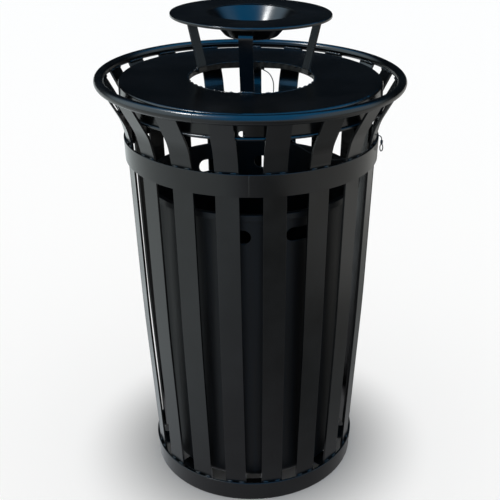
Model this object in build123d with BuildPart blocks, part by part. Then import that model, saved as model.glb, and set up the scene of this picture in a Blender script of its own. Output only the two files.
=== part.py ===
from build123d import *
from math import atan2, cos, hypot, pi, radians, sin, sqrt, tan
import os

os.makedirs("parts", exist_ok=True)

# Litter bin, millimetres. +Z up, the front of the bin faces -Y, and the
# origin is on the ground under the middle of the base band.

# Flat bar stock
bar_width = 50.8
bar_thickness = 4.8
weld_gap = 0.1
band_gap = 0.3

# Top ring, which sets the width and the height of the cage
ring_diameter = 711.2
ring_bar_diameter = 22.0
ring_height = 1014.0

# Slats: each is one bar that leans outwards from foot to belly to neck, and
# then flares out to the ring. Steps are along the radius, drops below the ring.
# They are set by eye before welding, so they stand closer together at the sides.
slat_azimuths = (
    -76.6,
    -56.6,
    -36.6,
    -16.6,
    3.4,
    19.6,
    35.8,
    55.6,
    75.4,
    94.2,
    113.6,
    133.7,
    151.6,
    167.5,
    183.4,
    203.4,
    223.4,
    243.4,
    263.4,
)
flare_step = 45.0
flare_drop = 83.0
neck_step = 10.0
neck_drop = 127.0
belly_step = 13.6
belly_height = 440.0
foot_step = 24.0
belly_bend = 6000.0
neck_bend = 60.0
flare_bend = 110.0

# Bands that tie the slats together
band_height = 50.8
band_thickness = 4.8
band_edge = 0.8
upper_band_drop = 182.0

# Liner supports and anchor tabs in the base
rest_bar_drop = 4.8
rest_bar_azimuth = 51.0
anchor_tab_count = 4
anchor_tab_first = -85.0
anchor_tab_length = 68.3
anchor_hole = 14.0
anchor_hole_inset = 43.3
anchor_tab_lift = 1.0
anchor_slat_gap = 0.3

# Lid
lid_ring_gap = 31.6
lid_drop = 1.0
lid_sheet = 2.7
lid_corner = 6.0
skirt_height = 54.0
bead_diameter = 6.4
skirt_hole = 12.7
skirt_hole_rise = 12.8
opening_diameter = 290.8
collar_height = 14.6
collar_sheet = 3.0
collar_proud = 0.4

# Rest tabs under the lid bead
rest_tab_slats = (1, 4, 7, 10, 13, 16)
rest_tab_width = 25.0
rest_tab_thickness = 4.8
rest_tab_clearance = 0.3
rest_tab_overlap = 9.0

# Ash top
ash_rise = 145.5
ash_diameter = 362.0
ash_sheet = 2.5
ash_rim_height = 6.0
ash_rim_corner = 2.4
bowl_mouth_diameter = 199.0
bowl_floor_radius = 58.0
bowl_depth = 52.5
bowl_sheet = 2.0
bowl_corner = 14.0
bowl_flange = 12.0

# Legs between the lid and the ash top
leg_width = 30.0
leg_thickness = 4.8
leg_azimuths = (-90.0, 30.0, 150.0)
leg_names = ("front", "right", "left")
leg_foot_drop = 9.0
leg_knee_rise = 2.0
leg_shoulder_inset = 6.5
leg_shoulder_drop = 21.5
leg_head_slope = 45.0
leg_bowl_gap = 8.0
leg_bend = 9.0

# Liner
liner_band_gap = 57.5
liner_rim_gap = 26.3
liner_foot_gap = 21.0
liner_rim_height = 14.0
liner_rim_width = 8.0
liner_wall = 4.0
liner_corner = 18.0
liner_rest_clearance = 0.2
grip_width = 77.0
grip_height = 33.0
grip_drop = 55.5
grip_pitch = 36.0
grip_azimuths = (-78.0, 102.0)

# Tether of the lid
tether_diameter = 2.4
tether_azimuth = -10.0
tether_anchor_width = 10.0
tether_anchor_depth = 12.0
tether_anchor_below = 6.0
sleeve_diameter = 6.4
sleeve_length = 8.0
loop_width = 9.0
loop_height = 19.0
end_gap = 0.05

# Worked out from the values above
ring_radius = ring_diameter / 2 - ring_bar_diameter / 2
slat_flare_radius = ring_radius - flare_step
slat_flare_height = ring_height - flare_drop
slat_neck_radius = slat_flare_radius - neck_step
slat_neck_height = ring_height - neck_drop
slat_belly_radius = slat_neck_radius - belly_step
slat_foot_radius = slat_belly_radius - foot_step
slat_foot_height = anchor_tab_lift + bar_thickness + anchor_slat_gap
upper_band_bottom = ring_height - upper_band_drop
lid_radius = ring_radius - ring_bar_diameter / 2 - lid_ring_gap
lid_top = ring_height - lid_drop
skirt_bottom = lid_top - skirt_height
opening_radius = opening_diameter / 2
collar_outer = opening_radius + collar_sheet
bead_height = skirt_bottom + bead_diameter / 2
bead_radius = lid_radius + bead_diameter / 2
ash_top = lid_top + ash_rise
ash_radius = ash_diameter / 2
bowl_radius = bowl_mouth_diameter / 2
bowl_bottom = ash_top - bowl_depth
rest_bar_top = band_height - rest_bar_drop
rest_bar_bottom = rest_bar_top - bar_thickness
liner_bottom = rest_bar_top + liner_rest_clearance
liner_top = upper_band_bottom - liner_band_gap


def straight(height, low, high):
    """Distance from the axis on the line through two centreline points."""
    share = (height - low[1]) / (high[1] - low[1])
    return low[0] + share * (high[0] - low[0])


slat_foot = (slat_foot_radius, slat_foot_height)
slat_belly = (slat_belly_radius, belly_height)
slat_neck = (slat_neck_radius, slat_neck_height)
slat_flare = (slat_flare_radius, slat_flare_height)

# The slat's last run points at the middle of the ring bar and stops on it,
# where the ring curves inwards to meet the slat's corners
flare_angle = atan2(ring_radius - slat_flare_radius, ring_height - slat_flare_height)
ring_sagitta = bar_width**2 / 8 / ring_radius
slat_reach = ring_bar_diameter / 2 + weld_gap + ring_sagitta * sin(flare_angle)
slat_tip_radius = ring_radius - slat_reach * sin(flare_angle)
slat_tip_height = ring_height - slat_reach * cos(flare_angle)
slat_tip = (slat_tip_radius, slat_tip_height)


def slat_centre(height):
    """Distance of the slats' centreline from the axis at a height."""
    if height < belly_height:
        return straight(height, slat_foot, slat_belly)
    if height < slat_neck_height:
        return straight(height, slat_belly, slat_neck)
    if height < slat_flare_height:
        return straight(height, slat_neck, slat_flare)
    return straight(height, slat_flare, slat_tip)


def band_inner(height):
    """Inside of a band: the slats' outer corners and the gap to them."""
    return hypot(slat_centre(height) + bar_thickness / 2, bar_width / 2) + band_gap


def radial_plane(azimuth):
    """Upright plane through the axis: its x runs outwards, its y up."""
    return Plane.XZ.rotated((0, 0, azimuth))


def across_plane(line, azimuth):
    """Plane square to the start of a line that lies in a radial plane."""
    sideways = (-sin(radians(azimuth)), cos(radians(azimuth)), 0)
    return Plane(line @ 0, x_dir=sideways, z_dir=line % 0)


def nearest_corner(profile, radius, height):
    """Corner of an upright profile nearest to a point."""
    return profile.vertices().sort_by_distance((radius, height, 0))[0]


# Slats, each bent from one flat bar
slats = []
for azimuth in slat_azimuths:
    with BuildPart() as slat:
        with BuildLine(radial_plane(azimuth)) as slat_line:
            FilletPolyline(
                slat_foot,
                slat_belly,
                slat_neck,
                slat_flare,
                slat_tip,
                radius=[belly_bend, neck_bend, flare_bend],
            )
        with BuildSketch(across_plane(slat_line.line, azimuth)):
            Rectangle(bar_width, bar_thickness)
        sweep()
    slats.append(slat)

# Top ring, a round bar
with BuildPart() as top_ring:
    with BuildSketch(Plane.XZ):
        with Locations((ring_radius, ring_height)):
            Circle(ring_bar_diameter / 2)
    revolve(axis=Axis.Z)


def band_profile(bottom):
    """Section of a band, which leans with the slats that it holds."""
    top = bottom + band_height
    low = band_inner(bottom)
    high = band_inner(top)
    with BuildSketch(Plane.XZ) as profile:
        with BuildLine():
            Polyline(
                (low, bottom),
                (low + band_thickness, bottom),
                (high + band_thickness, top),
                (high, top),
                close=True,
            )
        make_face()
        fillet(profile.vertices(), band_edge)
    return profile.sketch


base_band_profile = band_profile(0.0)
upper_band_profile = band_profile(upper_band_bottom)

with BuildPart() as base_band:
    add(base_band_profile)
    revolve(axis=Axis.Z)

with BuildPart() as upper_band:
    add(upper_band_profile)
    revolve(axis=Axis.Z)

# Cross of flat bars that carries the liner: one long bar, and a short bar on
# each side of it, all cut to the inside of the slats and the base band
rest_reach = slat_centre(rest_bar_bottom) - bar_thickness / 2 - weld_gap
rest_middle = rest_bar_top - bar_thickness / 2
rest_stub_length = rest_reach - bar_width / 2 - weld_gap
rest_stub_middle = rest_reach - rest_stub_length / 2

with BuildPart() as rest_bar:
    with Locations(Plane.XY.offset(rest_middle).rotated((0, 0, rest_bar_azimuth))):
        Box(2 * rest_reach, bar_width, bar_thickness)
    with BuildSketch(Plane.XY.offset(rest_bar_bottom)):
        Circle(rest_reach)
    extrude(amount=bar_thickness, mode=Mode.INTERSECT)

rest_stubs = []
for side in (90.0, 270.0):
    with BuildPart() as rest_stub:
        with Locations(Plane.XY.offset(rest_middle).rotated((0, 0, rest_bar_azimuth + side))):
            with Locations((rest_stub_middle, 0)):
                Box(rest_stub_length, bar_width, bar_thickness)
        with BuildSketch(Plane.XY.offset(rest_bar_bottom)):
            Circle(rest_reach)
        extrude(amount=bar_thickness, mode=Mode.INTERSECT)
    rest_stubs.append(rest_stub)

# Tabs with a bolt hole that anchor the bin to the ground. They pass under the
# slats' feet and end on the inside of the base band.
anchor_reach = band_inner(anchor_tab_lift) - weld_gap
anchor_tabs = []
for index in range(anchor_tab_count):
    azimuth = anchor_tab_first + index * 360.0 / anchor_tab_count
    with BuildPart() as anchor_tab:
        with BuildSketch(Plane.XY.offset(anchor_tab_lift).rotated((0, 0, azimuth))):
            with Locations((anchor_reach - anchor_tab_length / 2, 0)):
                Rectangle(anchor_tab_length, bar_width)
            Circle(anchor_reach, mode=Mode.INTERSECT)
            with Locations((anchor_reach - anchor_hole_inset, 0)):
                Circle(anchor_hole / 2, mode=Mode.SUBTRACT)
        extrude(amount=bar_thickness)
    anchor_tabs.append(anchor_tab)

# Tabs welded inside some of the slats, on which the lid's bead rests
rest_tab_top = skirt_bottom - rest_tab_clearance
rest_tab_bottom = rest_tab_top - rest_tab_thickness


def slat_inner(height):
    """Inner face of the flared part of a slat, with the weld gap."""
    return slat_centre(height) - bar_thickness / 2 / cos(flare_angle) - weld_gap


rest_tab_reach = bead_radius + bead_diameter / 2 - rest_tab_overlap
with BuildPart() as rest_tabs:
    for number in rest_tab_slats:
        with BuildSketch(radial_plane(slat_azimuths[number - 1])):
            Polygon(
                (rest_tab_reach, rest_tab_bottom),
                (slat_inner(rest_tab_bottom), rest_tab_bottom),
                (slat_inner(rest_tab_top), rest_tab_top),
                (rest_tab_reach, rest_tab_top),
                align=None,
            )
        extrude(amount=rest_tab_width / 2, both=True)

# Lid: a spun shell with a bead round its skirt and a collar in its opening
with BuildPart() as lid_shell:
    with BuildSketch(Plane.XZ) as lid_outline:
        with BuildLine():
            Polyline(
                (collar_outer + weld_gap, lid_top - lid_sheet),
                (collar_outer + weld_gap, lid_top),
                (lid_radius, lid_top),
                (lid_radius, skirt_bottom),
                (lid_radius - lid_sheet, skirt_bottom),
                (lid_radius - lid_sheet, lid_top - lid_sheet),
                close=True,
            )
        make_face()
        fillet(nearest_corner(lid_outline, lid_radius, lid_top), lid_corner)
        inner_corner = nearest_corner(lid_outline, lid_radius - lid_sheet, lid_top - lid_sheet)
        fillet(inner_corner, lid_corner - lid_sheet)
    revolve(axis=Axis.Z)
    with BuildSketch(Plane.XZ):
        with Locations((0, skirt_bottom + skirt_hole_rise)):
            Circle(skirt_hole / 2)
    extrude(amount=2 * lid_radius, mode=Mode.SUBTRACT)

with BuildPart() as lid_bead:
    with BuildSketch(Plane.XZ):
        with Locations((bead_radius + weld_gap, bead_height)):
            Circle(bead_diameter / 2)
    revolve(axis=Axis.Z)

collar_top = lid_top + collar_proud
collar_bottom = collar_top - collar_height
with BuildPart() as opening_collar:
    with BuildSketch(Plane.XZ) as collar_outline:
        with Locations((opening_radius, collar_bottom)):
            Rectangle(collar_sheet, collar_height, align=(Align.MIN, Align.MIN))
        fillet(collar_outline.vertices(), collar_sheet * 0.3)
    revolve(axis=Axis.Z)

# Sizes of the ash bowl, which hangs under the disc by its flange
bowl_top = ash_top - ash_sheet - weld_gap
bowl_fall = bowl_radius - bowl_floor_radius
bowl_rise = bowl_top - bowl_bottom
bowl_wall_across = bowl_sheet * hypot(bowl_fall, bowl_rise) / bowl_rise
bowl_flange_radius = bowl_radius + bowl_wall_across + bowl_flange

# Legs, each bent from one flat bar
leg_foot_face = sqrt(opening_radius**2 - (leg_width / 2) ** 2) - weld_gap
leg_foot_radius = leg_foot_face - leg_thickness / 2
leg_knee_height = lid_top + leg_knee_rise
leg_shoulder_radius = ash_radius - leg_shoulder_inset
leg_shoulder_height = ash_top - leg_shoulder_drop
leg_head_height = ash_top - ash_sheet - leg_thickness / 2 - weld_gap
leg_head_rise = leg_head_height - leg_shoulder_height
leg_head_radius = leg_shoulder_radius - leg_head_rise / tan(radians(leg_head_slope))
leg_head_end = bowl_flange_radius + leg_bowl_gap
legs = []
for azimuth in leg_azimuths:
    with BuildPart() as leg:
        with BuildLine(radial_plane(azimuth)) as leg_line:
            FilletPolyline(
                (leg_foot_radius, lid_top - leg_foot_drop),
                (leg_foot_radius, leg_knee_height),
                (leg_shoulder_radius, leg_shoulder_height),
                (leg_head_radius, leg_head_height),
                (leg_head_end, leg_head_height),
                radius=leg_bend,
            )
        with BuildSketch(across_plane(leg_line.line, azimuth)):
            Rectangle(leg_width, leg_thickness)
        sweep()
    legs.append(leg)

# Ash top: a spun disc and a bowl hung under the hole in it
with BuildPart() as ash_disc:
    with BuildSketch(Plane.XZ) as ash_outline:
        with BuildLine():
            Polyline(
                (bowl_radius, ash_top - ash_sheet),
                (bowl_radius, ash_top),
                (ash_radius, ash_top),
                (ash_radius, ash_top - ash_rim_height),
                (ash_radius - ash_sheet, ash_top - ash_rim_height),
                (ash_radius - ash_sheet, ash_top - ash_sheet),
                close=True,
            )
        make_face()
        fillet(nearest_corner(ash_outline, ash_radius, ash_top), ash_rim_corner)
    revolve(axis=Axis.Z)

with BuildPart() as ash_bowl:
    with BuildSketch(Plane.XZ) as bowl_outline:
        with BuildLine():
            Polyline(
                (0, bowl_bottom),
                (bowl_floor_radius, bowl_bottom),
                (bowl_radius + bowl_wall_across, bowl_top),
                (0, bowl_top),
                close=True,
            )
        make_face()
        fillet(nearest_corner(bowl_outline, bowl_floor_radius, bowl_bottom), bowl_corner)
    revolve(axis=Axis.Z)
    offset(amount=-bowl_sheet, openings=ash_bowl.faces().sort_by(Axis.Z)[-1])
    with BuildSketch(Plane.XY.offset(bowl_top)):
        Circle(bowl_flange_radius)
        Circle(bowl_radius + bowl_wall_across / 2, mode=Mode.SUBTRACT)
    extrude(amount=-bowl_sheet)

# Liner: a tapered plastic tub with a turned-down rim and four hand grips
cage_reach = bar_thickness / 2
liner_rim_radius = slat_centre(liner_top) - cage_reach - liner_rim_gap
liner_foot_radius = slat_centre(liner_bottom) - cage_reach - liner_foot_gap
liner_wall_radius = liner_rim_radius - liner_rim_width
with BuildPart() as liner:
    with BuildSketch(Plane.XZ) as liner_outline:
        with BuildLine():
            Polyline(
                (0, liner_bottom),
                (liner_foot_radius, liner_bottom),
                (liner_wall_radius, liner_top),
                (0, liner_top),
                close=True,
            )
        make_face()
        fillet(nearest_corner(liner_outline, liner_foot_radius, liner_bottom), liner_corner)
    revolve(axis=Axis.Z)
    offset(amount=-liner_wall, openings=liner.faces().sort_by(Axis.Z)[-1])
    with BuildSketch(Plane.XZ):
        with Locations((liner_wall_radius - liner_wall / 2, liner_top)):
            Rectangle(
                liner_rim_width + liner_wall / 2,
                liner_wall,
                align=(Align.MIN, Align.MAX),
            )
        with Locations((liner_rim_radius, liner_top)):
            Rectangle(liner_wall, liner_rim_height, align=(Align.MAX, Align.MAX))
    revolve(axis=Axis.Z)
    for side in grip_azimuths:
        for offset_angle in (-grip_pitch / 2, grip_pitch / 2):
            outward = radial_plane(side + offset_angle)
            grip_plane = Plane(
                outward.from_local_coords((0, liner_top - grip_drop, 0)),
                x_dir=outward.z_dir,
                z_dir=outward.x_dir,
            )
            with BuildSketch(grip_plane):
                SlotOverall(grip_width, grip_height)
            extrude(amount=liner_rim_radius, mode=Mode.SUBTRACT)

# Tether: a wire rope from an anchor under the lid, over the upper band, to a
# crimped sleeve and a small loop outside
tether_route = [
    (14.0, 160.0, 995.0),
    (14.0, 142.0, 995.0),
    (33.0, 124.0, 991.0),
    (43.0, 109.0, 978.0),
    (46.0, 97.0, 964.0),
    (44.5, 85.0, 946.0),
    (47.0, 72.0, 915.0),
    (62.0, 56.0, 880.0),
    (95.0, 36.0, 846.0),
    (140.0, 10.0, 824.0),
    (190.0, -16.0, 818.0),
    (233.0, -36.0, 832.0),
    (265.0, -45.0, 851.0),
    (284.1, -50.1, 872.0),
    (284.1, -50.1, 895.0),
    (301.8, -53.2, 895.0),
    (301.8, -53.2, 884.0),
]


def bend_radii(route):
    """Largest arc that fits at each inner point of a route."""
    radii = []
    for before, here, after in zip(route, route[1:], route[2:]):
        arriving = Vector(*here) - Vector(*before)
        leaving = Vector(*after) - Vector(*here)
        half_turn = radians(arriving.get_angle(leaving)) / 2
        radii.append(0.45 * min(arriving.length, leaving.length) / tan(half_turn))
    return radii


tether_radii = bend_radii(tether_route)
with BuildPart() as tether_cable:
    with BuildLine() as tether_line:
        FilletPolyline(*tether_route, radius=tether_radii)
    with BuildSketch(Plane(tether_line.line @ 0, z_dir=tether_line.line % 0)):
        Circle(tether_diameter / 2)
    sweep()

anchor_front = tether_route[0][1] + end_gap
anchor_foot = tether_route[0][2] - tether_anchor_below
with BuildPart() as tether_anchor:
    with BuildSketch(Plane.XY.offset(anchor_foot)) as anchor_outline:
        with Locations((tether_route[0][0], anchor_front)):
            Rectangle(
                tether_anchor_width,
                tether_anchor_depth,
                align=(Align.CENTER, Align.MIN),
            )
    extrude(amount=lid_top - lid_sheet - weld_gap - anchor_foot)
    fillet(tether_anchor.edges().filter_by(Axis.Z), tether_anchor_width * 0.15)

sleeve_top = tether_route[-1][2] - end_gap
with BuildPart() as tether_sleeve:
    with BuildSketch(Plane((tether_route[-1][0], tether_route[-1][1], sleeve_top))):
        Circle(sleeve_diameter / 2)
    extrude(amount=-sleeve_length)
    fillet(tether_sleeve.edges(), sleeve_diameter * 0.15)

loop_top = sleeve_top - sleeve_length - end_gap
loop_middle = loop_top - loop_height / 2
loop_turn = loop_width / 2 - tether_diameter / 2
loop_plane = radial_plane(tether_azimuth)
loop_radius = hypot(tether_route[-1][0], tether_route[-1][1])
with BuildPart() as tether_loop:
    with BuildLine(loop_plane):
        EllipticalCenterArc(
            (loop_radius, loop_middle),
            loop_turn,
            loop_height / 2 - tether_diameter / 2,
            start_angle=0,
            arc_size=360,
        )
    loop_start = loop_plane.from_local_coords((loop_radius + loop_turn, loop_middle, 0))
    with BuildSketch(Plane(loop_start, x_dir=loop_plane.x_dir, z_dir=loop_plane.y_dir)):
        Circle(tether_diameter / 2)
    sweep()

sub_parts = {
    "top_ring": top_ring,
    "upper_band": upper_band,
    "base_band": base_band,
    "rest_bar": rest_bar,
    "rest_stub_left": rest_stubs[0],
    "rest_stub_right": rest_stubs[1],
    "lid_rest_tabs": rest_tabs,
    "lid_shell": lid_shell,
    "lid_bead": lid_bead,
    "opening_collar": opening_collar,
    "ash_disc": ash_disc,
    "ash_bowl": ash_bowl,
    "liner": liner,
    "tether_anchor": tether_anchor,
    "tether_cable": tether_cable,
    "tether_sleeve": tether_sleeve,
    "tether_loop": tether_loop,
}
for index, slat in enumerate(slats, start=1):
    sub_parts[f"slat_{index:02d}"] = slat
for index, anchor_tab in enumerate(anchor_tabs, start=1):
    sub_parts[f"anchor_tab_{index}"] = anchor_tab
for leg_name, leg in zip(leg_names, legs):
    sub_parts[f"leg_{leg_name}"] = leg

for label, sub_part in sub_parts.items():
    sub_part.part.label = label
    export_step(sub_part.part, f"parts/{label}.step")

print("sub-parts:", len(sub_parts))
print("tether bend radii:", [round(radius, 1) for radius in tether_radii])
tether_length = sum(edge.length for edge in tether_line.line.edges())
tether_section = pi * tether_diameter**2 / 4
print("tether length:", round(tether_length, 1))
print("tether volume over section:", round(tether_cable.part.volume / tether_section, 1))
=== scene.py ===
import math
import random

import bmesh
import bpy
from mathutils import Matrix, Vector


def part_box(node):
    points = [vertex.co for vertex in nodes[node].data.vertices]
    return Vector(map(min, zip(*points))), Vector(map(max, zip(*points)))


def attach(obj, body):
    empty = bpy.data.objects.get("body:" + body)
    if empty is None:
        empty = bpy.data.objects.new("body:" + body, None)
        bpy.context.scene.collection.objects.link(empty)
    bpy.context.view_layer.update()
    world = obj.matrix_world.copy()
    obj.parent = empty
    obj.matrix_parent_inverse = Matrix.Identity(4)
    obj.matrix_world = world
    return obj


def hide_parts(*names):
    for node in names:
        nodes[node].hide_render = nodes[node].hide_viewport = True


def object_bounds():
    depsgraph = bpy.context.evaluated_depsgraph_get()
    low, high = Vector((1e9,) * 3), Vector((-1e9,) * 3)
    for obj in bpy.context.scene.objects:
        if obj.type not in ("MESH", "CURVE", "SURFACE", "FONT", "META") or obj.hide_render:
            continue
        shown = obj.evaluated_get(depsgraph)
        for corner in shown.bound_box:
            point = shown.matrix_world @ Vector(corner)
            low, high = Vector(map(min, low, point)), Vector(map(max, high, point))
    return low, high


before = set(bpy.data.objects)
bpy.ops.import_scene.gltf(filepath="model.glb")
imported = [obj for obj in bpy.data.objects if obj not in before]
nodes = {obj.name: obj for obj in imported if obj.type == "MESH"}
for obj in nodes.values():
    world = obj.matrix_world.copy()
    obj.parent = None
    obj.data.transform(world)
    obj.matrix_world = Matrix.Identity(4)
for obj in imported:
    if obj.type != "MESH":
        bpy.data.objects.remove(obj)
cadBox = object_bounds()
print("litter bin: frame loaded,", len(nodes), "pieces")


# sRGB hex such as "1a1c1e" to the linear colour that shaders use
def linearColour(hexText):
    channels = [int(hexText[i:i + 2], 16) / 255 for i in (0, 2, 4)]
    linear = [c / 12.92 if c <= 0.04045 else ((c + 0.055) / 1.055) ** 2.4 for c in channels]
    return (*linear, 1.0)


# One node with its settings, its fixed inputs, and its inputs fed by other nodes
def addNode(tree, kind, settings=None, inputs=None, links=None):
    node = tree.nodes.new(kind)
    for name, value in (settings or {}).items():
        setattr(node, name, value)
    for name, value in (inputs or {}).items():
        node.inputs[name].default_value = value
    for name, source in (links or {}).items():
        tree.links.new(source, node.inputs[name])
    return node


# An empty node material and its tree
def newMaterial(name):
    material = bpy.data.materials.new(name)
    material.use_nodes = True
    material.node_tree.nodes.clear()
    return material, material.node_tree


# Point at an azimuth in degrees, a distance from the bin's axis and a height
def polar(azimuth, radius, height):
    turn = math.radians(azimuth)
    return Vector((radius * math.cos(turn), radius * math.sin(turn), height))


# Azimuth of a CAD piece that is even about its own radial plane
def nodeAzimuth(name):
    middle = Vector()
    for vertex in nodes[name].data.vertices:
        middle += vertex.co
    return math.degrees(math.atan2(middle.y, middle.x))


# A finished piece from a bmesh, riding on a body
def newPiece(name, bm, body, material, smooth=True):
    bmesh.ops.recalc_face_normals(bm, faces=bm.faces)
    mesh = bpy.data.meshes.new(name)
    bm.to_mesh(mesh)
    bm.free()
    mesh.materials.append(material)
    if smooth:
        mesh.shade_smooth()
    piece = bpy.data.objects.new(name, mesh)
    bpy.context.scene.collection.objects.link(piece)
    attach(piece, body)
    return piece


powderCoat = {
    "deep": "030405",
    "film": "090b0d",
    "worn": "2b2e31",
    "roughness": (0.16, 0.27),
    "ior": 1.44,
    "peelSize": 0.004,  # orange peel is about 2 mm across, drawn at 4 mm so that it shows
    "rollSize": 0.09,  # slow change of gloss along a bar
    "chipScale": 160.0,  # rubbed spots along an edge, about 6 mm apart
    "edge": 0.0009,
}


# Gloss black polyester powder coat over mild steel: deep black, with a faint orange peel that
# softens reflections, and a thinner, greyer coat along edges
def makePowderCoat(name, lumpSize=None):
    material, tree = newMaterial(name)
    place = addNode(tree, "ShaderNodeTexCoord").outputs["Object"]
    peel = addNode(tree, "ShaderNodeTexNoise", inputs={
        "Scale": 1 / powderCoat["peelSize"], "Detail": 2.0, "Roughness": 0.45,
    }, links={"Vector": place})
    roll = addNode(tree, "ShaderNodeTexNoise", inputs={
        "Scale": 1 / powderCoat["rollSize"], "Detail": 3.0, "Roughness": 0.5,
    }, links={"Vector": place})
    rounded = addNode(tree, "ShaderNodeBevel", {"samples": 4}, {"Radius": powderCoat["edge"]})
    flat = addNode(tree, "ShaderNodeNewGeometry").outputs["Normal"]
    likeness = addNode(tree, "ShaderNodeVectorMath", {"operation": "DOT_PRODUCT"}, links={
        0: rounded.outputs["Normal"], 1: flat,
    })
    edge = addNode(tree, "ShaderNodeMapRange", {"interpolation_type": "SMOOTHSTEP"}, {
        "From Min": 0.995, "From Max": 0.80, "To Min": 0.0, "To Max": 1.0,
    }, {"Value": likeness.outputs["Value"]})
    chips = addNode(tree, "ShaderNodeTexNoise", inputs={
        "Scale": powderCoat["chipScale"], "Detail": 4.0,
    }, links={"Vector": place})
    chipShare = addNode(tree, "ShaderNodeMapRange", inputs={
        "From Min": 0.46, "From Max": 0.66, "To Min": 0.0, "To Max": 0.7,
    }, links={"Value": chips.outputs["Fac"]})
    wear = addNode(tree, "ShaderNodeMath", {"operation": "MULTIPLY"}, links={
        0: edge.outputs["Result"], 1: chipShare.outputs["Result"],
    })
    filmShare = addNode(tree, "ShaderNodeMapRange", inputs={
        "From Min": 0.38, "From Max": 0.68, "To Min": 0.0, "To Max": 1.0,
    }, links={"Value": roll.outputs["Fac"]})
    coat = addNode(tree, "ShaderNodeMix", {"data_type": "RGBA"}, {
        6: linearColour(powderCoat["deep"]), 7: linearColour(powderCoat["film"]),
    }, {0: filmShare.outputs["Result"]})
    colour = addNode(tree, "ShaderNodeMix", {"data_type": "RGBA"}, {
        7: linearColour(powderCoat["worn"]),
    }, {0: wear.outputs["Value"], 6: coat.outputs[2]})
    rough = addNode(tree, "ShaderNodeMapRange", inputs={
        "From Min": 0.3, "From Max": 0.7,
        "To Min": powderCoat["roughness"][0], "To Max": powderCoat["roughness"][1],
    }, links={"Value": roll.outputs["Fac"]})
    peelBump = addNode(tree, "ShaderNodeBump", inputs={
        "Strength": 0.35, "Distance": 0.00012,
    }, links={"Height": peel.outputs["Fac"], "Normal": rounded.outputs["Normal"]})
    bump = peelBump
    if lumpSize:
        lumps = addNode(tree, "ShaderNodeTexNoise", inputs={
            "Scale": 1 / lumpSize, "Detail": 3.0, "Distortion": 0.6,
        }, links={"Vector": place})
        bump = addNode(tree, "ShaderNodeBump", inputs={"Strength": 0.8, "Distance": 0.0006}, links={
            "Height": lumps.outputs["Fac"], "Normal": peelBump.outputs["Normal"],
        })
    surface = addNode(tree, "ShaderNodeBsdfPrincipled", inputs={
        "IOR": powderCoat["ior"], "Metallic": 0.0,
    }, links={
        "Base Color": colour.outputs[2], "Roughness": rough.outputs["Result"],
        "Normal": bump.outputs["Normal"],
    })
    addNode(tree, "ShaderNodeOutputMaterial", links={"Surface": surface.outputs["BSDF"]})
    return material


linerPlastic = {
    "base": "060607",
    "scuffed": "101112",
    "roughness": (0.40, 0.54),
    "ior": 1.36,
    "grain": 0.0022,  # moulded grain is about 1 mm, drawn at 2.2 mm so that it shows
    "scuffScale": (55.0, 55.0, 2.2),  # scuffs about 18 mm wide and 450 mm tall
    "edge": 0.0022,
}


# Rotationally moulded polyethylene: satin black, fine grain, faint vertical scuffs from being
# lifted in and out
def makeLinerPlastic():
    material, tree = newMaterial("mouldedPolyethylene")
    place = addNode(tree, "ShaderNodeTexCoord").outputs["Object"]
    tall = addNode(tree, "ShaderNodeMapping", inputs={
        "Scale": linerPlastic["scuffScale"],
    }, links={"Vector": place})
    scuffs = addNode(tree, "ShaderNodeTexNoise", inputs={
        "Scale": 1.0, "Detail": 5.0, "Roughness": 0.6,
    }, links={"Vector": tall.outputs["Vector"]})
    scuffShare = addNode(tree, "ShaderNodeMapRange", inputs={
        "From Min": 0.5, "From Max": 0.8, "To Min": 0.0, "To Max": 0.8,
    }, links={"Value": scuffs.outputs["Fac"]})
    colour = addNode(tree, "ShaderNodeMix", {"data_type": "RGBA"}, {
        6: linearColour(linerPlastic["base"]), 7: linearColour(linerPlastic["scuffed"]),
    }, {0: scuffShare.outputs["Result"]})
    rough = addNode(tree, "ShaderNodeMapRange", inputs={
        "From Min": 0.35, "From Max": 0.7,
        "To Min": linerPlastic["roughness"][0], "To Max": linerPlastic["roughness"][1],
    }, links={"Value": scuffs.outputs["Fac"]})
    rounded = addNode(tree, "ShaderNodeBevel", {"samples": 4}, {"Radius": linerPlastic["edge"]})
    grain = addNode(tree, "ShaderNodeTexNoise", inputs={
        "Scale": 1 / linerPlastic["grain"], "Detail": 2.0,
    }, links={"Vector": place})
    bump = addNode(tree, "ShaderNodeBump", inputs={"Strength": 0.35, "Distance": 0.00012}, links={
        "Height": grain.outputs["Fac"], "Normal": rounded.outputs["Normal"],
    })
    surface = addNode(tree, "ShaderNodeBsdfPrincipled", inputs={
        "IOR": linerPlastic["ior"], "Metallic": 0.0,
    }, links={
        "Base Color": colour.outputs[2], "Roughness": rough.outputs["Result"],
        "Normal": bump.outputs["Normal"],
    })
    addNode(tree, "ShaderNodeOutputMaterial", links={"Surface": surface.outputs["BSDF"]})
    return material


ropeVinyl = {
    "base": "060606",
    "raised": "17181a",
    "roughness": 0.3,
    "ior": 1.5,
    "layScale": 600.0,  # strands about 1.7 mm wide
}


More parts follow.
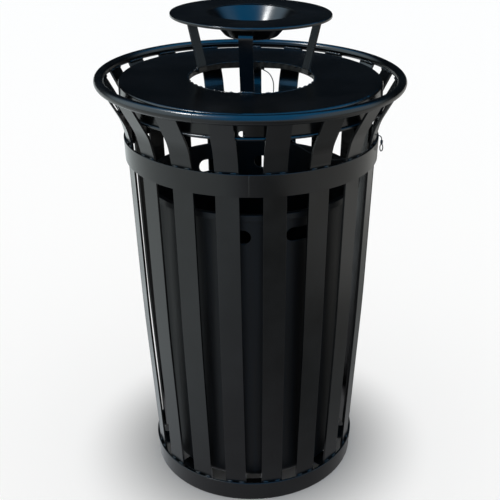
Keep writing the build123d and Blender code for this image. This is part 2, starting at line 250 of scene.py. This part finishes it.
# Thin wire rope in a black vinyl sheath: smooth gloss with the lay just showing
def makeRopeSheath():
    material, tree = newMaterial("vinylRopeSheath")
    place = addNode(tree, "ShaderNodeTexCoord").outputs["Object"]
    lay = addNode(tree, "ShaderNodeTexNoise", inputs={
        "Scale": ropeVinyl["layScale"], "Detail": 1.0,
    }, links={"Vector": place})
    colour = addNode(tree, "ShaderNodeMix", {"data_type": "RGBA"}, {
        6: linearColour(ropeVinyl["base"]), 7: linearColour(ropeVinyl["raised"]),
    }, {0: lay.outputs["Fac"]})
    bump = addNode(tree, "ShaderNodeBump", inputs={"Strength": 0.4, "Distance": 0.0002}, links={
        "Height": lay.outputs["Fac"],
    })
    surface = addNode(tree, "ShaderNodeBsdfPrincipled", inputs={
        "IOR": ropeVinyl["ior"], "Roughness": ropeVinyl["roughness"],
    }, links={"Base Color": colour.outputs[2], "Normal": bump.outputs["Normal"]})
    addNode(tree, "ShaderNodeOutputMaterial", links={"Surface": surface.outputs["BSDF"]})
    return material


crimpFinish = {
    "dull": "2e2f31",
    "bright": "5c5e60",
    "roughness": 0.5,
    "dentScale": 420.0,  # dents about 2.4 mm across
}


# Crimped aluminium sleeve, dulled and darkened by weather
def makeCrimpMetal():
    material, tree = newMaterial("crimpedAluminium")
    place = addNode(tree, "ShaderNodeTexCoord").outputs["Object"]
    dents = addNode(tree, "ShaderNodeTexNoise", inputs={
        "Scale": crimpFinish["dentScale"], "Detail": 3.0,
    }, links={"Vector": place})
    colour = addNode(tree, "ShaderNodeMix", {"data_type": "RGBA"}, {
        6: linearColour(crimpFinish["dull"]), 7: linearColour(crimpFinish["bright"]),
    }, {0: dents.outputs["Fac"]})
    bump = addNode(tree, "ShaderNodeBump", inputs={"Strength": 0.5, "Distance": 0.0004}, links={
        "Height": dents.outputs["Fac"],
    })
    surface = addNode(tree, "ShaderNodeBsdfPrincipled", inputs={
        "Metallic": 1.0, "Roughness": crimpFinish["roughness"],
    }, links={"Base Color": colour.outputs[2], "Normal": bump.outputs["Normal"]})
    addNode(tree, "ShaderNodeOutputMaterial", links={"Surface": surface.outputs["BSDF"]})
    return material


blackCoat = makePowderCoat("glossPowderCoat")
weldCoat = makePowderCoat("powderCoatOverWeld", lumpSize=0.0035)
linerFinish = makeLinerPlastic()
ropeSheath = makeRopeSheath()
crimpMetal = makeCrimpMetal()

finishes = {"liner": linerFinish, "tether_sleeve": crimpMetal, "tether_loop": ropeSheath}
for name, node in nodes.items():
    for materialSlot in node.material_slots:
        materialSlot.material = finishes.get(name, blackCoat)
print("litter bin: finishes on the frame, lid and liner")


camera = {
    "place": (0.1444, -2.0096, 1.5286),
    "down": 25.3,  # degrees
    "roll": 1.3,
    "lens": 63.87,  # mm
    "sensor": 36.0,
    "shift": (-0.1218, -0.0028),
}


# Camera that looks along +Y and down onto the bin
def makeCamera():
    data = bpy.data.cameras.new("camera")
    data.lens = camera["lens"]
    data.sensor_width = camera["sensor"]
    data.shift_x, data.shift_y = camera["shift"]
    data.clip_end = 60
    eye = bpy.data.objects.new("camera", data)
    bpy.context.scene.collection.objects.link(eye)
    tilt = Matrix.Rotation(math.radians(90 - camera["down"]), 4, "X")
    roll = Matrix.Rotation(math.radians(camera["roll"]), 4, "Z")
    eye.matrix_world = Matrix.Translation(camera["place"]) @ tilt @ roll
    bpy.context.scene.camera = eye


makeCamera()
bpy.context.scene.view_settings.view_transform = "Standard"


tether = {
    "route": (
        (0.0140, 0.1600, 0.9950),
        (0.0140, 0.1420, 0.9950),
        (0.0330, 0.1240, 0.9910),
        (0.0430, 0.1090, 0.9780),
        (0.0460, 0.0970, 0.9640),
        (0.0445, 0.0850, 0.9460),
        (0.0470, 0.0720, 0.9150),
        (0.0620, 0.0560, 0.8800),
        (0.0950, 0.0360, 0.8460),
        (0.1400, 0.0100, 0.8240),
        (0.1900, -0.0160, 0.8180),
        (0.2330, -0.0360, 0.8320),
        (0.2650, -0.0450, 0.8510),
        (0.2841, -0.0501, 0.8720),
        (0.2841, -0.0501, 0.8950),
        (0.3018, -0.0532, 0.8950),
        (0.3018, -0.0532, 0.8840),
    ),
    "diameter": 0.0024,
    "length": 0.5045,
}


# The rope that keeps the lid with the bin, on one smooth curve
def makeTether():
    data = bpy.data.curves.new("tetherRope", "CURVE")
    data.dimensions = "3D"
    data.bevel_depth = tether["diameter"] / 2
    data.bevel_resolution = 3
    data.resolution_u = 10
    data.use_fill_caps = True
    spline = data.splines.new("NURBS")
    spline.points.add(len(tether["route"]) - 1)
    for point, place in zip(spline.points, tether["route"]):
        point.co = (*place, 1.0)
    spline.order_u = 3
    spline.use_endpoint_u = True
    data.materials.append(ropeSheath)
    rope = bpy.data.objects.new("tetherRope", data)
    bpy.context.scene.collection.objects.link(rope)
    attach(rope, "lid")
    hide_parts("tether_cable")


makeTether()
print("litter bin: tether laid")


weldLook = {
    "sides": 8,
    "step": 0.0016,  # along the bead
    "pitch": 0.0048,  # one ripple of the bead
    "ripple": 0.22,
    "jitter": 0.16,
    "tip": (0.45, 0.30),  # share of the thickness at an end, and what each step adds
}
weldLuck = random.Random(11)


# Points along a circle about the axis, length of it each side of the azimuth together
def arcPath(azimuth, radius, height, length):
    count = max(3, round(length / weldLook["step"]))
    half = math.degrees(length / 2 / radius)
    return [polar(azimuth - half + 2 * half * i / count, radius, height) for i in range(count + 1)]


# Points along a straight run
def straightPath(start, end):
    count = max(3, round((end - start).length / weldLook["step"]))
    return [start.lerp(end, i / count) for i in range(count + 1)]


# Place, direction and size of the bead's section at one point of its path
def beadFrame(path, index, closed, size):
    last = len(path) - 1
    before = path[index - 1] if index or closed else path[0]
    after = path[(index + 1) % len(path)] if index < last or closed else path[last]
    forward = (after - before).normalized()
    turn = forward.to_track_quat("Z", "Y").to_matrix().to_4x4()
    return Matrix.Translation(path[index]) @ turn @ Matrix.Diagonal((size, size, 1.0, 1.0))


# A rippled weld bead along a path
def layBead(bm, path, thickness, closed=False):
    run = 0.0
    sizes = []
    last = len(path) - 1
    for index in range(len(path)):
        if index:
            run += (path[index] - path[index - 1]).length
        ripple = 1 + weldLook["ripple"] * math.sin(2 * math.pi * run / weldLook["pitch"])
        size = thickness * ripple * (1 + weldLuck.uniform(-weldLook["jitter"], weldLook["jitter"]))
        if not closed:
            fromEnd = min(index, last - index)
            size *= min(1.0, weldLook["tip"][0] + weldLook["tip"][1] * fromEnd)
        sizes.append(size)
    place = beadFrame(path, 0, closed, sizes[0])
    made = bmesh.ops.create_circle(
        bm, segments=weldLook["sides"], radius=1.0, matrix=place, cap_ends=not closed,
    )
    ring = set(made["verts"])
    first = [e for e in bm.edges if e.verts[0] in ring and e.verts[1] in ring]
    edges = first
    for index in range(1, len(path)):
        made = bmesh.ops.extrude_edge_only(bm, edges=edges)["geom"]
        ring = set(g for g in made if isinstance(g, bmesh.types.BMVert))
        grown = [g for g in made if isinstance(g, bmesh.types.BMEdge)]
        edges = [e for e in grown if e.verts[0] in ring and e.verts[1] in ring]
        nextPlace = beadFrame(path, index, closed, sizes[index])
        bmesh.ops.transform(bm, matrix=nextPlace @ place.inverted(), verts=list(ring))
        place = nextPlace
    if closed:
        bmesh.ops.bridge_loops(bm, edges=first + edges)
    else:
        bmesh.ops.holes_fill(bm, edges=edges, sides=0)


slatNames = sorted(name for name in nodes if name.startswith("slat_"))
slatAzimuths = [nodeAzimuth(name) for name in slatNames]
ringLow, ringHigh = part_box("top_ring")
ringBar = (ringHigh.z - ringLow.z) / 2
ringRadius = ringHigh.x - ringBar
ringHeight = (ringHigh.z + ringLow.z) / 2

ringWeld = {
    "length": 0.048,
    # degrees round the ring bar from straight down towards the axis, and the bead's thickness
    "inner": (46.0, 0.0036),
    "outer": (10.0, 0.0018),
    "clear": 0.0004,
}


# Beads where each slat meets the ring, one on each of its faces
def makeRingWelds():
    bm = bmesh.new()
    for azimuth in slatAzimuths:
        for angle, thickness in (ringWeld["inner"], ringWeld["outer"]):
            reach = ringBar + ringWeld["clear"]
            radius = ringRadius - reach * math.sin(math.radians(angle))
            height = ringHeight - reach * math.cos(math.radians(angle))
            layBead(bm, arcPath(azimuth, radius, height, ringWeld["length"]), thickness)
    newPiece("ringWelds", bm, "frame", weldCoat)


bandWeld = {
    "stitch": 0.013,
    "apart": 0.030,
    "thickness": 0.0021,
    "inset": 0.0052,  # from the band's outer face to the slat's
    "lift": 0.0004,
}


# Stitches at the top edge of both bands, two on each slat
def makeBandWelds():
    bm = bmesh.new()
    for band in ("base_band", "upper_band"):
        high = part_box(band)[1]
        radius = high.x - bandWeld["inset"]
        for azimuth in slatAzimuths:
            for side in (-0.5, 0.5):
                turn = math.degrees(side * bandWeld["apart"] / radius)
                place = azimuth + turn
                path = arcPath(place, radius, high.z + bandWeld["lift"], bandWeld["stitch"])
                layBead(bm, path, bandWeld["thickness"])
    newPiece("bandWelds", bm, "frame", weldCoat)


seams = {
    "bands": {"upper_band": -87.4, "base_band": 118.0},  # azimuth of each seam
    "ringAzimuth": -105.5,
    "width": 0.0032,
    "edge": 0.0012,  # from a band's edge to the end of its seam
    "footProud": 0.0038,  # from the inner face out, at the foot
    "headSink": 0.0010,  # from the outer face in, at the head
    "ringSink": 0.0007,
    "ringThickness": 0.0014,
    "ringSteps": 40,
}


# Ground butt welds that close the two bands and the ring
def makeSeams():
    bm = bmesh.new()
    for band, azimuth in seams["bands"].items():
        low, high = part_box(band)
        corners = [v.co for v in nodes[band].data.vertices]
        inner = min(math.hypot(p.x, p.y) for p in corners if p.z < low.z + 0.001)
        outer = max(math.hypot(p.x, p.y) for p in corners if p.z > high.z - 0.001)
        foot = polar(azimuth, inner + seams["footProud"], low.z + seams["edge"])
        head = polar(azimuth, outer - seams["headSink"], high.z - seams["edge"])
        layBead(bm, straightPath(foot, head), seams["width"] / 2)
    middle = polar(seams["ringAzimuth"], ringRadius, ringHeight)
    out = polar(seams["ringAzimuth"], 1.0, 0.0)
    up = Vector((0, 0, 1))
    loop = []
    for index in range(seams["ringSteps"]):
        turn = 2 * math.pi * index / seams["ringSteps"]
        outwards = out * math.cos(turn) + up * math.sin(turn)
        loop.append(middle + (ringBar - seams["ringSink"]) * outwards)
    layBead(bm, loop, seams["ringThickness"], closed=True)
    newPiece("seamWelds", bm, "frame", weldCoat)


lidWeld = {
    "collarStitch": 0.012,
    "collarPitch": 0.0202,
    "collarThickness": 0.0026,
    "collarDrop": 0.0016,
    "legWidth": 0.030,
    "legClear": 0.0006,  # from a leg's side to the middle of its bead
    "footThickness": 0.0030,
    "footOut": 0.0012,
    "footIn": 0.0010,
    "footRise": (0.006, 0.010),  # where the side bead starts above the collar's foot, its length
    "footLift": 0.0008,
    "headThickness": 0.0022,
    "headDrop": 0.0034,  # under the disc's top
    "headRun": (0.003, 0.030),  # start and end of the bead, from the end of the leg
}


# Stitches inside the opening's collar, and the beads at the feet and heads of the legs
def makeLidWelds():
    bm = bmesh.new()
    collarLow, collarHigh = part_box("opening_collar")
    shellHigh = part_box("lid_shell")[1]
    corners = [v.co for v in nodes["opening_collar"].data.vertices]
    openingRadius = min(math.hypot(p.x, p.y) for p in corners)
    stitchHeight = collarHigh.z - lidWeld["collarDrop"]
    count = round(2 * math.pi * openingRadius / lidWeld["collarPitch"])
    for index in range(count):
        azimuth = 360 * index / count
        path = arcPath(azimuth, openingRadius, stitchHeight, lidWeld["collarStitch"])
        layBead(bm, path, lidWeld["collarThickness"])
    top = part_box("ash_disc")[1].z - lidWeld["headDrop"]
    for name in ("leg_front", "leg_right", "leg_left"):
        azimuth = nodeAzimuth(name)
        places = [v.co for v in nodes[name].data.vertices]
        reach = [math.hypot(p.x, p.y) for p in places]
        footReach = max(r for r, p in zip(reach, places) if p.z < shellHigh.z - 0.004)
        headEnd = min(r for r, p in zip(reach, places) if p.z > top - 0.003)
        footHeight = collarHigh.z + lidWeld["footLift"]
        path = arcPath(azimuth, footReach + lidWeld["footOut"], footHeight, lidWeld["legWidth"])
        layBead(bm, path, lidWeld["footThickness"])
        across = polar(azimuth + 90, 1.0, 0.0)
        start, length = lidWeld["footRise"]
        near, far = lidWeld["headRun"]
        for side in (-1, 1):
            offset = across * side * (lidWeld["legWidth"] / 2 + lidWeld["legClear"])
            foot = polar(azimuth, footReach - lidWeld["footIn"], collarLow.z + start) + offset
            head = foot + Vector((0, 0, length))
            layBead(bm, straightPath(foot, head), lidWeld["footThickness"])
            inner = polar(azimuth, headEnd + near, top) + offset
            outer = polar(azimuth, headEnd + far, top) + offset
            layBead(bm, straightPath(inner, outer), lidWeld["headThickness"])
    newPiece("lidWelds", bm, "lid", weldCoat)


makeRingWelds()
makeBandWelds()
makeSeams()
makeLidWelds()
print("litter bin: welds laid")


studio = {
    "floor": "b9b9b8",
    "floorHalf": 14.0,
    # the floor glows though it is no lamp: painted light on top of its lit colour
    "floorGlow": 0.5,
    # painted shade: the glow is cut under the bin so the ground there stays dark
    "glowRadius": (0.22, 0.50),  # no glow under the bin
    "floorReach": 1.6,
    # painted reflection: glowing tones that only gloss sees on the floor, from the bin's left to
    # its right
    "floorPaintedReflection": (
        (0.00, (0.92, 1.00, 1.00, 1.0)),
        (0.26, (0.80, 0.87, 0.89, 1.0)),
        (0.38, (0.60, 0.65, 0.68, 1.0)),
        (0.46, (0.42, 0.43, 0.46, 1.0)),
        (0.56, (0.27, 0.27, 0.28, 1.0)),
        (0.66, (0.20, 0.21, 0.21, 1.0)),
        (0.80, (0.25, 0.25, 0.24, 1.0)),
        (0.92, (0.60, 0.60, 0.58, 1.0)),
        (1.00, (0.66, 0.66, 0.63, 1.0)),
    ),
    "backdrop": (0.97, 0.972, 0.975, 1.0),
    "fill": 1.02,
    "shade": (0.007, 0.012, 0.018, 1.0),
    "sky": (0.06, 1.12, 2.55, 1.0),
    "skyFacing": (0.0, -0.66, 0.75),
    "skyFade": (0.0, 0.55),
    "horizon": (0.80, 0.92, 0.96, 1.0),
    "horizonFade": (0.24, 0.02),  # from this height down to this one
    "horizonNear": (0.55, -0.1),  # only on the front's side
    # bright sky low on both sides: where it is, its colour, and how far it fades
    "glares": (
        ((-0.86, -0.22, 0.46), (1.70, 2.10, 2.30, 1.0), (0.62, 0.96)),
        ((0.90, -0.18, 0.40), (1.10, 1.35, 1.50, 1.0), (0.74, 0.98)),
    ),
    "key": {
        "from": (-0.49, -0.18, 0.85), "aim": (0.0, 0.0, 1.0), "distance": 4.2,
        "size": 0.75, "power": 120.0,
    },
}


# Pale floor that glows by itself, which is painted light, with painted shade under the bin where
# the glow stops, and a painted reflection for gloss
def makeFloor():
    material, tree = newMaterial("paleFloorPaintedLight")
    place = addNode(tree, "ShaderNodeTexCoord").outputs["Object"]
    reach = addNode(tree, "ShaderNodeVectorMath", {"operation": "LENGTH"}, links={0: place})
    # Painted light and shade: the floor glows by itself, except under the bin
    glow = addNode(tree, "ShaderNodeMapRange", {"interpolation_type": "SMOOTHSTEP"}, {
        "From Min": studio["glowRadius"][0], "From Max": studio["glowRadius"][1],
        "To Max": studio["floorGlow"],
    }, {"Value": reach.outputs["Value"]})
    paper = addNode(tree, "ShaderNodeBsdfPrincipled", inputs={
        "Base Color": linearColour(studio["floor"]), "Roughness": 0.95, "IOR": 1.2,
        "Emission Color": (1.0, 1.0, 1.0, 1.0),
    }, links={"Emission Strength": glow.outputs["Result"]})
    # Painted reflection: gloss rays see a glowing left-to-right tone on the floor instead of its
    # lit surface
    across = addNode(tree, "ShaderNodeSeparateXYZ", links={0: place}).outputs["X"]
    share = addNode(tree, "ShaderNodeMapRange", inputs={
        "From Min": -studio["floorReach"], "From Max": studio["floorReach"],
    }, links={"Value": across})
    ramp = addNode(tree, "ShaderNodeValToRGB", links={"Fac": share.outputs["Result"]})
    stops = ramp.color_ramp.elements
    while len(stops) < len(studio["floorPaintedReflection"]):
        stops.new(0.5)
    for stop, (position, tone) in zip(stops, studio["floorPaintedReflection"]):
        stop.position = position
        stop.color = tone
    paintedReflectionGlow = addNode(tree, "ShaderNodeEmission", links={"Color": ramp.outputs["Color"]})
    ray = addNode(tree, "ShaderNodeLightPath")
    both = addNode(tree, "ShaderNodeMixShader", links={
        0: ray.outputs["Is Glossy Ray"], 1: paper.outputs["BSDF"], 2: paintedReflectionGlow.outputs["Emission"],
    })
    addNode(tree, "ShaderNodeOutputMaterial", links={"Surface": both.outputs["Shader"]})
    bm = bmesh.new()
    bmesh.ops.create_grid(bm, x_segments=4, y_segments=4, size=studio["floorHalf"])
    mesh = bpy.data.meshes.new("floor")
    bm.to_mesh(mesh)
    bm.free()
    mesh.materials.append(material)
    floor = bpy.data.objects.new("floor", mesh)
    floor.location.z = cadBox[0].z - 0.0004
    bpy.context.scene.collection.objects.link(floor)


# Even white light for the floor, a sky-blue softbox above the camera for gloss, and a small key
def makeLight():
    world = bpy.data.worlds.new("studio")
    world.use_nodes = True
    tree = world.node_tree
    tree.nodes.clear()
    facing = addNode(tree, "ShaderNodeTexCoord").outputs["Generated"]
    towards = addNode(tree, "ShaderNodeVectorMath", {"operation": "DOT_PRODUCT"}, {
        1: studio["skyFacing"],
    }, {0: facing})
    parts = addNode(tree, "ShaderNodeSeparateXYZ", links={0: facing})
    skyShare = addNode(tree, "ShaderNodeMapRange", {"interpolation_type": "SMOOTHSTEP"}, {
        "From Min": studio["skyFade"][0], "From Max": studio["skyFade"][1],
    }, {"Value": towards.outputs["Value"]})
    lowShare = addNode(tree, "ShaderNodeMapRange", {"interpolation_type": "SMOOTHSTEP"}, {
        "From Min": studio["horizonFade"][0], "From Max": studio["horizonFade"][1],
    }, {"Value": parts.outputs["Z"]})
    nearShare = addNode(tree, "ShaderNodeMapRange", {"interpolation_type": "SMOOTHSTEP"}, {
        "From Min": studio["horizonNear"][0], "From Max": studio["horizonNear"][1],
    }, {"Value": parts.outputs["Y"]})
    horizonShare = addNode(tree, "ShaderNodeMath", {"operation": "MULTIPLY"}, links={
        0: lowShare.outputs["Result"], 1: nearShare.outputs["Result"],
    })
    dome = addNode(tree, "ShaderNodeMix", {"data_type": "RGBA"}, {
        6: studio["shade"], 7: studio["sky"],
    }, {0: skyShare.outputs["Result"]})
    gloss = addNode(tree, "ShaderNodeMix", {"data_type": "RGBA"}, {7: studio["horizon"]}, {
        0: horizonShare.outputs["Value"], 6: dome.outputs[2],
    })
    for direction, tone, fade in studio["glares"]:
        near = addNode(tree, "ShaderNodeVectorMath", {"operation": "DOT_PRODUCT"}, {
            1: Vector(direction).normalized(),
        }, {0: facing})
        share = addNode(tree, "ShaderNodeMapRange", {"interpolation_type": "SMOOTHSTEP"}, {
            "From Min": fade[0], "From Max": fade[1],
        }, {"Value": near.outputs["Value"]})
        gloss = addNode(tree, "ShaderNodeMix", {"data_type": "RGBA"}, {7: tone}, {
            0: share.outputs["Result"], 6: gloss.outputs[2],
        })
    even = addNode(tree, "ShaderNodeBackground", inputs={
        "Color": studio["backdrop"], "Strength": studio["fill"],
    })
    mirrored = addNode(tree, "ShaderNodeBackground", links={"Color": gloss.outputs[2]})
    ray = addNode(tree, "ShaderNodeLightPath")
    both = addNode(tree, "ShaderNodeMixShader", links={
        0: ray.outputs["Is Glossy Ray"], 1: even.outputs["Background"],
        2: mirrored.outputs["Background"],
    })
    addNode(tree, "ShaderNodeOutputWorld", links={"Surface": both.outputs["Shader"]})
    bpy.context.scene.world = world
    key = studio["key"]
    data = bpy.data.lights.new("key", "AREA")
    data.shape = "DISK"
    data.size = key["size"]
    data.energy = key["power"]
    lamp = bpy.data.objects.new("key", data)
    towardsKey = Vector(key["from"]).normalized()
    lamp.location = Vector(key["aim"]) + towardsKey * key["distance"]
    lamp.rotation_euler = towardsKey.to_track_quat("Z", "Y").to_euler()
    lamp.visible_diffuse = False
    bpy.context.scene.collection.objects.link(lamp)


makeFloor()
makeLight()
print("litter bin: floor and light set")

bpy.context.view_layer.update()
